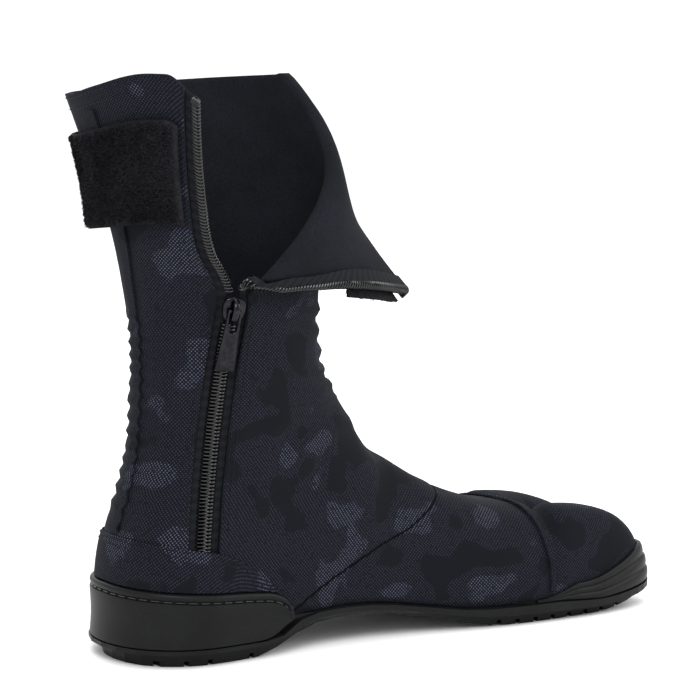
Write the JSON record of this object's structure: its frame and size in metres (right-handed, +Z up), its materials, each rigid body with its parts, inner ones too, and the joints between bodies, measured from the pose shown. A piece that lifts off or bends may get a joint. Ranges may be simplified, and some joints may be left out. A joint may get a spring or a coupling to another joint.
{
  "type": "jika tabi",
  "caption": "Split-toed cloth work boot on a thin rubber sole, left foot, with a half-open side zip and a hook-and-loop closing tab.",
  "frame": {"origin": "on the ground, under the middle of the heel, on the flat rest face of the heel block", "axes": "+X towards the toes, along the foot; +Y towards the outer (little toe) side; +Z up the shaft"},
  "size_m": [0.2899, 0.1099, 0.252],
  "materials": {
    "cloth": "cotton duck, navy black, dotted",
    "rubber": "satin black rubber",
    "foam": "cloth-faced foam board",
    "tape": "woven polyester tape",
    "nylon": "black nylon coil",
    "zinc": "black nickel",
    "pile": "hook-and-loop pile"
  },
  "bodies": {
    "boot": {"upper": "cloth", "heel_counter": "cloth", "back_strip": "cloth", "toe_seam": "cloth", "outsole": "rubber", "heel_cup": "rubber", "toe_guard_big": "rubber", "toe_guard_small": "rubber", "insole": "foam", "zip_tape_rear": "tape", "zip_tape_front": "tape", "zip_chain": "nylon", "zip_coil_rear": "nylon", "zip_coil_front": "nylon", "zip_slider": "zinc", "closing_tab": "pile", "loop_patch": "pile"},
    "pull_tab": {"zip_pull": "zinc"}
  },
  "joints": [
    {"name": "pull_hinge", "type": "hinge", "parent": "boot", "child": "pull_tab", "pos_m": [0.00371, -0.03739, 0.15233], "axis": [-0.9513, 0.2789, 0.1313], "range_deg": [0, 100]}
  ]
}
